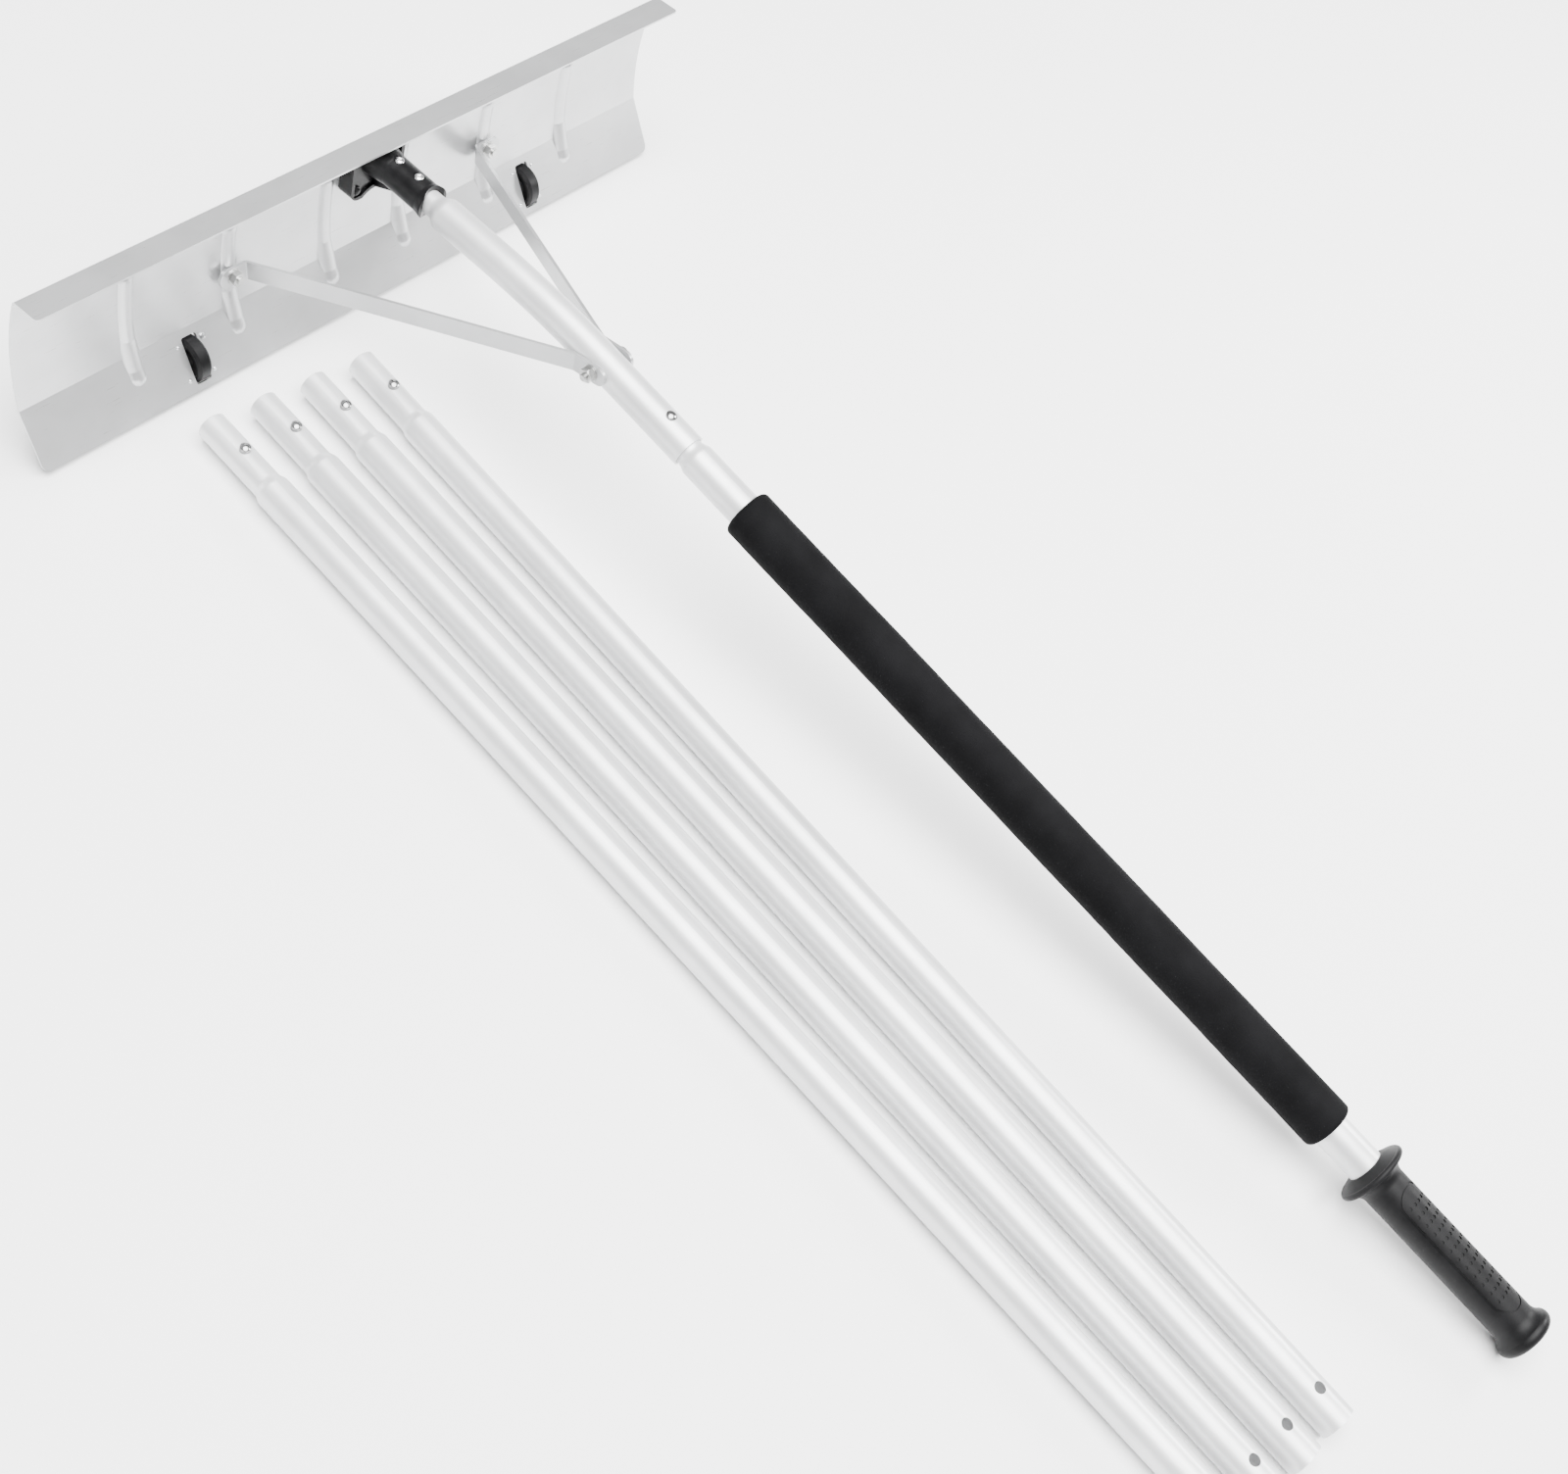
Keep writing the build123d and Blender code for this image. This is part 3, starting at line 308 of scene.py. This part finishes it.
# ------------------------------------------------------------------ operators
class RAKE_OT_metal(Operator):
    """Finish the sheet, tubes, braces and fasteners that carry over from the frame."""

    bl_idname = "rake.metal"
    bl_label = "Metal finishes"

    def execute(self, context):
        settings = context.scene.rake
        sheet = metal("satin_rolled_sheet", settings.sheet_color, 0.3, grain=(0.6, 30, 30),
                      bareness=0.72)
        handle = metal("matt_anodised_tube", settings.tube_color, 0.42,
                       grain_turn=(HANDLE_PITCH, 0, 0), grain=(40, 1, 40), bareness=0.5)
        loose = metal("matt_anodised_loose_tube", settings.tube_color, 0.42,
                      grain_turn=(0, 0, LOOSE_TUBE_YAW), grain=(40, 1, 40), bareness=0.5)
        bar = metal("mill_finish_bar", settings.bar_color, 0.34, grain=(8, 8, 60), bareness=0.7)
        zinc = metal("zinc_plated_steel", (0.55, 0.55, 0.54), 0.3, grain=(6, 6, 6))
        bright = metal("button_steel", (0.34, 0.34, 0.34), 0.2, grain=(10, 10, 10))
        spring = metal("spring_strip", (0.35, 0.35, 0.36), 0.32, grain=(20, 2, 20))
        finishes = (
            ("blade", sheet), ("head_tube", handle), ("pole_tube", handle),
            ("extension_tube", loose), ("brace_left", bar), ("brace_right", bar),
            ("brace_pole", zinc), ("brace_blade", zinc), ("wheel_bracket_left", zinc),
            ("wheel_bracket_right", zinc), ("wheel_axle", zinc), ("pole_button_spring", spring),
            ("extension_button_spring", spring),
        )
        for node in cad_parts:
            for start, material in finishes:
                if node.startswith(start):
                    paint(node, material)
                    break
            else:
                if "_button" in node:
                    paint(node, bright)
        return {"FINISHED"}


class RAKE_OT_plastic(Operator):
    """Finish the moulded socket, the wheels and the rubber grip."""

    bl_idname = "rake.plastic"
    bl_label = "Plastic and rubber"

    def execute(self, context):
        settings = context.scene.rake
        gloss = moulded("socket_plastic", settings.plastic_color, 0.34, 1400.0, 2e-5,
                        coat=0.12)
        wheel = moulded("wheel_plastic", settings.plastic_color, 0.45, 1200.0, 2.5e-5)
        rubber = moulded("grip_rubber", settings.rubber_color, 0.5, 1600.0, 3e-5)
        paint("socket_bracket", gloss)
        paint("wheel_left", wheel)
        paint("wheel_right", wheel)
        paint("hand_grip", rubber)
        return {"FINISHED"}


class RAKE_OT_sleeve(Operator):
    """Make the foam sleeve, soft-edged and slightly uneven, in place of the plain one."""

    bl_idname = "rake.sleeve"
    bl_label = "Foam sleeve"

    def execute(self, context):
        settings = context.scene.rake
        points = [vertex.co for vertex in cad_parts["foam_sleeve"].data.vertices]
        middle = sum(points, Vector()) / len(points)
        along = self.axis(points, middle)
        starts = [(p - middle).dot(along) for p in points]
        spans = [((p - middle) - along * (p - middle).dot(along)).length for p in points]
        if max(starts) - min(starts) < SLEEVE_SHORTEST:
            raise RuntimeError("the frame's sleeve isn't a long tube")
        start, end, outer, inner = min(starts), max(starts), max(spans), min(spans)
        outer -= settings.sleeve_unevenness
        bm = lathe(self.profile(start, end, inner, outer), SLEEVE_AROUND, self.wobble(settings))
        turn = Vector((1, 0, 0)).rotation_difference(along).to_matrix().to_4x4()
        bmesh.ops.transform(bm, matrix=Matrix.Translation(middle) @ turn, verts=bm.verts)
        mesh = mesh_from(bm, "foam_sleeve_look")
        mesh.materials.append(foam("closed_cell_foam", settings.foam_color))
        piece = add_piece("foam_sleeve_look", mesh, "handle", ("foam_sleeve",))
        return {"FINISHED"}

    def axis(self, points, middle):
        """The tube's own direction: from the middle of its near end face to that of its far end."""
        direction = Vector((0, -1, 0))
        for _ in range(6):
            places = [(p - middle).dot(direction) for p in points]
            low, high = min(places), max(places)
            ends = []
            for limit in (low, high):
                face = [p for p, place in zip(points, places) if abs(place - limit) < END_FACE]
                box = [(min(p[i] for p in face) + max(p[i] for p in face)) / 2 for i in range(3)]
                ends.append(Vector(box))
            direction = (ends[1] - ends[0]).normalized()
        return direction

    def profile(self, start, end, inner, outer):
        """Closed half section: outer skin, rounded lips, and the bore; softness 1 on the skin only."""
        lip = SLEEVE_LIP
        loop = [(start + lip + (end - start - 2 * lip) * i / SLEEVE_STEPS, outer, 1.0)
                for i in range(SLEEVE_STEPS + 1)]
        loop += self.lip(end - lip, outer - lip, lip, 0)
        loop += [(end, inner + lip / 4, 0.0), (end - lip / 4, inner, 0.0)]
        loop += [(start + lip / 4, inner, 0.0), (start, inner + lip / 4, 0.0)]
        loop += self.lip(start + lip, outer - lip, lip, 1)
        return loop

    def lip(self, along, radius, size, back):
        """A quarter round at one end of the outer skin."""
        turns = [math.pi / 2 * i / 7 for i in range(1, 8)]
        if back:
            return [(along - size * math.cos(t), radius + size * math.sin(t), math.sin(t))
                    for t in turns[:-1]]
        return [(along + size * math.sin(t), radius + size * math.cos(t), math.cos(t))
                for t in turns]

    def wobble(self, settings):
        """Small smooth swells of the skin, never above its full radius by more than the setting."""
        size = settings.sleeve_unevenness

        def swell(along, angle):
            at = Vector((along * 18.0, math.cos(angle) * 1.1, math.sin(angle) * 1.1))
            fine = Vector((along * 90.0, math.cos(angle) * 3.0, math.sin(angle) * 3.0))
            return size * (0.7 * noise.noise(at) + 0.3 * noise.noise(fine))

        return swell


class RAKE_OT_fasteners(Operator):
    """Set domed rivets and cross-slotted screws over the frame's own places."""

    bl_idname = "rake.fasteners"
    bl_label = "Rivets and screws"

    def execute(self, context):
        settings = context.scene.rake
        rivet = metal("rivet_aluminium", (0.66, 0.67, 0.68), 0.3, grain=(10, 10, 10))
        dark = moulded("blackened_rivet", settings.plastic_color, 0.4, 900.0, 1e-5)
        bright = metal("polished_stainless", (0.72, 0.72, 0.72), 0.2, grain=(10, 10, 10))
        for node, slot_name, material, slotted in (
            ("wheel_bracket_rivets", "rivet_aluminium", rivet, False),
            ("bracket_rivets", "rivet_aluminium", dark, False),
            ("socket_screws", "bright_steel", bright, True),
        ):
            self.set_in(context, node, slot_name, material, slotted)
        return {"FINISHED"}

    def set_in(self, context, node, slot_name, material, slotted):
        """Scatters one fastener over the places of a frame node and keeps the result as a mesh."""
        places = [self.measure(bit) for bit in bits(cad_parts[node])]
        if len(places) < 2:
            raise RuntimeError(f"{node} has no separate fasteners")
        seed = self.fastener(node, places[0], slotted)
        carrier_mesh = bpy.data.meshes.new(f"{node}_places")
        carrier_mesh.from_pydata([place["foot"] for place in places], [], [])
        carrier_mesh.attributes.new("way", "FLOAT_VECTOR", "POINT")
        carrier_mesh.attributes.new("stretch", "FLOAT", "POINT")
        for i, place in enumerate(places):
            carrier_mesh.attributes["way"].data[i].vector = place["way"]
            stretch = place["length"] / places[0]["length"]
            carrier_mesh.attributes["stretch"].data[i].value = stretch
        carrier = bpy.data.objects.new(f"{node}_places", carrier_mesh)
        context.scene.collection.objects.link(carrier)
        tree = self.scatter(f"{node}_scatter")
        named = {item.name: item.identifier for item in tree.interface.items_tree
                 if item.in_out == "INPUT"}
        modifier = carrier.modifiers.new("scatter", "NODES")
        modifier.node_group = tree
        modifier[named["Fastener"]] = seed
        modifier[named["Turn"]] = math.tau
        modifier[named["Seed"]] = 7
        modifier[named["Material"]] = material
        context.view_layer.update()
        graph = context.evaluated_depsgraph_get()
        plain = bpy.data.meshes.new_from_object(carrier.evaluated_get(graph))
        bpy.data.objects.remove(carrier)
        bpy.data.objects.remove(seed)
        if len(plain.polygons) < 100 * len(places):
            raise RuntimeError(f"{node}: the scatter made too little")
        plain.materials.clear()
        plain.materials.append(material)
        add_piece(f"{node}_look", plain, "head", (node,))

    def measure(self, bit):
        """A fastener's foot, way and length, and the radii of its foot and of its head."""
        points, flats = bit
        way = max(flats, key=lambda flat: flat[1])[0]
        middle = sum(points, Vector()) / len(points)
        rises = [(p - middle).dot(way) for p in points]
        lateral = [(p - middle) - way * rise for p, rise in zip(points, rises)]
        centre = Vector([(min(q[i] for q in lateral) + max(q[i] for q in lateral)) / 2
                         for i in range(3)])
        spans = [(q - centre).length for q in lateral]
        low, high = min(rises), max(rises)
        third = (high - low) / 3
        top = max(s for s, r in zip(spans, rises) if r > high - third)
        foot = max(s for s, r in zip(spans, rises) if r < low + third)
        if foot > top:
            way, low, high, top, foot = -way, -high, -low, foot, top
            rises = [-rise for rise in rises]
        head = [r for s, r in zip(spans, rises) if s > top * 0.97]
        heel = [r for s, r in zip(spans, rises) if s > foot * 0.97 and r < low + third]
        return {"foot": middle + centre + way * low, "way": way, "length": high - low,
                "head_radius": top, "foot_radius": foot,
                "head_from": min(head) - low, "foot_to": max(heel) - low}

    def fastener(self, node, place, slotted):
        """One fastener standing on its foot along +Z: heel, shank and a softly domed head."""
        length, wide, heel = place["length"], place["head_radius"], place["foot_radius"]
        start = place["head_from"]
        shank = RIVET_SHANK_SHARE * heel
        step = place["foot_to"]
        outline = [(0.0, 0.0), (0.0, heel * 0.8), (step * 0.3, heel), (step, heel)]
        outline += [(start, heel)] if slotted else [(step, shank), (start, shank)]
        outline += [(start, wide * 0.98), (start + 0.25 * (length - start), wide)]
        for i in range(1, DOME_STEPS + 1):
            t = math.pi / 2 * i / DOME_STEPS
            outline.append((start + (length - start) * (0.25 + 0.75 * math.sin(t)),
                            wide * math.cos(t)))
        around = FASTENER_AROUND
        bm = bmesh.new()
        rings = []
        for along, radius in outline:
            if radius < 1e-6:
                rings.append([bm.verts.new((0, 0, along))])
            else:
                rings.append([bm.verts.new((radius * math.cos(math.tau * k / around),
                                            radius * math.sin(math.tau * k / around), along))
                              for k in range(around)])
        for under, over in zip(rings, rings[1:]):
            for k in range(around):
                n = (k + 1) % around
                corners = [under[k % len(under)], under[n % len(under)],
                           over[n % len(over)], over[k % len(over)]]
                unique = list(dict.fromkeys(corners))
                if len(unique) > 2:
                    bm.faces.new(unique)
        mesh = mesh_from(bm, f"{node}_one")
        one = bpy.data.objects.new(f"{node}_one", mesh)
        bpy.context.scene.collection.objects.link(one)
        if slotted:
            self.press_cross(one, length, wide)
        return one

    def press_cross(self, one, length, wide):
        """Cuts the driver's cross into the head."""
        bm = bmesh.new()
        for turn in (0, math.pi / 2):
            made = bmesh.ops.create_cube(bm, size=1.0)["verts"]
            size = Matrix.Diagonal((wide * 1.15, wide * 0.28, length * 0.16, 1.0))
            place = Matrix.Translation((0, 0, length)) @ Matrix.Rotation(turn, 4, "Z") @ size
            bmesh.ops.transform(bm, matrix=place, verts=made)
        mesh = mesh_from(bm, "cross")
        cross = bpy.data.objects.new("cross", mesh)
        bpy.context.scene.collection.objects.link(cross)
        cut = one.modifiers.new("cross", "BOOLEAN")
        cut.operation = "DIFFERENCE"
        cut.solver = "EXACT"
        cut.use_self = True
        cut.object = cross
        bpy.context.view_layer.update()
        graph = bpy.context.evaluated_depsgraph_get()
        result = bpy.data.meshes.new_from_object(one.evaluated_get(graph))
        one.modifiers.clear()
        one.data = result
        bpy.data.objects.remove(cross)
        if len(result.polygons) < 100:
            raise RuntimeError("the driver's cross wasn't cut")

    def scatter(self, name):
        """Geometry Nodes: one fastener on every point, stood along its way and turned at random."""
        tree = bpy.data.node_groups.new(name, "GeometryNodeTree")
        face = tree.interface
        face.new_socket("Geometry", in_out="INPUT", socket_type="NodeSocketGeometry")
        face.new_socket("Fastener", in_out="INPUT", socket_type="NodeSocketObject")
        face.new_socket("Turn", in_out="INPUT", socket_type="NodeSocketFloat")
        face.new_socket("Seed", in_out="INPUT", socket_type="NodeSocketInt")
        face.new_socket("Material", in_out="INPUT", socket_type="NodeSocketMaterial")
        face.new_socket("Geometry", in_out="OUTPUT", socket_type="NodeSocketGeometry")
        new, link = tree.nodes.new, tree.links.new
        given, made = new("NodeGroupInput"), new("NodeGroupOutput")
        info = new("GeometryNodeObjectInfo")
        info.inputs["As Instance"].default_value = True
        way = new("GeometryNodeInputNamedAttribute")
        stretch = new("GeometryNodeInputNamedAttribute")
        way.data_type, stretch.data_type = "FLOAT_VECTOR", "FLOAT"
        way.inputs["Name"].default_value = "way"
        stretch.inputs["Name"].default_value = "stretch"
        align = new("FunctionNodeAlignRotationToVector")
        align.axis = "Z"
        link(way.outputs["Attribute"], align.inputs["Vector"])
        spin = new("FunctionNodeRandomValue")
        spin.data_type = "FLOAT"
        link(given.outputs["Turn"], spin.inputs[3])
        link(given.outputs["Seed"], spin.inputs["Seed"])
        about = new("FunctionNodeAxisAngleToRotation")
        about.inputs["Axis"].default_value = (0, 0, 1)
        link(spin.outputs[1], about.inputs["Angle"])
        turned = new("FunctionNodeRotateRotation")
        turned.rotation_space = "LOCAL"
        link(align.outputs["Rotation"], turned.inputs["Rotation"])
        link(about.outputs["Rotation"], turned.inputs["Rotate By"])
        size = new("ShaderNodeCombineXYZ")
        size.inputs["X"].default_value = size.inputs["Y"].default_value = 1.0
        link(stretch.outputs["Attribute"], size.inputs["Z"])
        stand = new("GeometryNodeInstanceOnPoints")
        link(given.outputs["Geometry"], stand.inputs["Points"])
        link(given.outputs["Fastener"], info.inputs["Object"])
        link(info.outputs["Geometry"], stand.inputs["Instance"])
        link(turned.outputs["Rotation"], stand.inputs["Rotation"])
        link(size.outputs["Vector"], stand.inputs["Scale"])
        real, finish = new("GeometryNodeRealizeInstances"), new("GeometryNodeSetMaterial")
        link(stand.outputs["Instances"], real.inputs["Geometry"])
        link(real.outputs["Geometry"], finish.inputs["Geometry"])
        link(given.outputs["Material"], finish.inputs["Material"])
        link(finish.outputs["Geometry"], made.inputs["Geometry"])
        return tree


class RAKE_OT_stage(Operator):
    """Lay the pale floor, hang the soft lights and place the camera."""

    bl_idname = "rake.stage"
    bl_label = "Stage"

    CAMERA_AT = (-0.9264, -0.1739, 1.1985)
    CAMERA_RIGHT = (0.6285, -0.7180, 0.2989)
    CAMERA_FORWARD = (0.5899, 0.1897, -0.7849)
    LENS = 47.25
    SHIFT = (0.0204, -0.0356)

    def execute(self, context):
        settings = context.scene.rake
        self.floor(settings)
        self.lights()
        self.camera(context)
        return {"FINISHED"}

    def floor(self, settings):
        """A plain square far larger than the view, just under the lowest piece."""
        mesh = bpy.data.meshes.new("floor")
        reach = 12.0
        corners = [(-reach, -reach, 0), (reach, -reach, 0), (reach, reach, 0), (-reach, reach, 0)]
        mesh.from_pydata([(x, y, z - 0.0005) for x, y, z in corners], [], [(0, 1, 2, 3)])
        floor = bpy.data.objects.new("floor", mesh)
        bpy.context.scene.collection.objects.link(floor)
        recipe = Recipe("pale_floor", settings.floor_color, 0.0, 0.9)
        recipe.vary_color(recipe.noise(3.0), tuple(c * 0.985 for c in settings.floor_color))
        mesh.materials.append(recipe.material)
        floor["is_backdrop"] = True

    def lights(self):
        """A dim pale surround, a broad soft light above and a small one at the front right."""
        world = bpy.data.worlds.new("surround")
        world.use_nodes = True
        background = world.node_tree.nodes["Background"]
        background.inputs["Color"].default_value = (1.0, 1.0, 1.0, 1.0)
        background.inputs["Strength"].default_value = 0.5
        bpy.context.scene.world = world
        for name, place, size, power in (
            ("key", (1.9, -0.9, 1.3), 0.8, 70.0),
            ("top", (-0.3, -0.1, 3.2), 3.6, 620.0),
        ):
            light = bpy.data.lights.new(name, "AREA")
            light.shape = "DISK"
            light.size = size
            light.energy = power
            lamp = bpy.data.objects.new(name, light)
            bpy.context.scene.collection.objects.link(lamp)
            lamp.location = place
            lamp.rotation_euler = (-Vector(place)).to_track_quat("-Z", "Y").to_euler()

    def camera(self, context):
        """Looks down along the blade's left, with the handle running to the lower right."""
        right = Vector(self.CAMERA_RIGHT).normalized()
        back = -Vector(self.CAMERA_FORWARD).normalized()
        up = back.cross(right).normalized()
        right = up.cross(back)
        lens = bpy.data.cameras.new("camera")
        lens.sensor_width = 36.0
        lens.sensor_fit = "HORIZONTAL"
        lens.lens = self.LENS
        lens.shift_x, lens.shift_y = self.SHIFT
        lens.clip_start = 0.01
        lens.clip_end = 100.0
        camera = bpy.data.objects.new("camera", lens)
        context.scene.collection.objects.link(camera)
        turn = Matrix((right, up, back)).transposed().to_4x4()
        camera.matrix_world = Matrix.Translation(self.CAMERA_AT) @ turn
        context.scene.camera = camera


class RAKE_PT_panel(Panel):
    """Sidebar list of the rake's operators and settings."""

    bl_idname = "RAKE_PT_panel"
    bl_label = "Roof snow rake"
    bl_space_type = "VIEW_3D"
    bl_region_type = "UI"
    bl_category = "Rake"

    def draw(self, context):
        for operator in OPERATORS:
            self.layout.operator(operator.bl_idname)
        for name in RakeSettings.__annotations__:
            self.layout.prop(context.scene.rake, name)


OPERATORS = (
    RAKE_OT_stage, RAKE_OT_metal, RAKE_OT_plastic, RAKE_OT_sleeve, RAKE_OT_fasteners,
)
CLASSES = (RakeSettings, *OPERATORS, RAKE_PT_panel)


def register():
    for cls in CLASSES:
        bpy.utils.register_class(cls)
    bpy.types.Scene.rake = PointerProperty(type=RakeSettings)


def unregister():
    del bpy.types.Scene.rake
    for cls in reversed(CLASSES):
        bpy.utils.unregister_class(cls)


def main():
    register()
    bpy.ops.rake.stage()
    bpy.ops.rake.metal()
    bpy.ops.rake.plastic()
    bpy.ops.rake.sleeve()
    bpy.ops.rake.fasteners()
    visual_box = [list(corner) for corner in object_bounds()]
    for made_corner, packed_corner in zip(visual_box, CAD_BOX):
        for made, packed in zip(made_corner, packed_corner):
            if abs(made - packed) > BOX_SLACK:
                raise RuntimeError("a piece has left the frame's box")


if __name__ == "__main__":
    main()
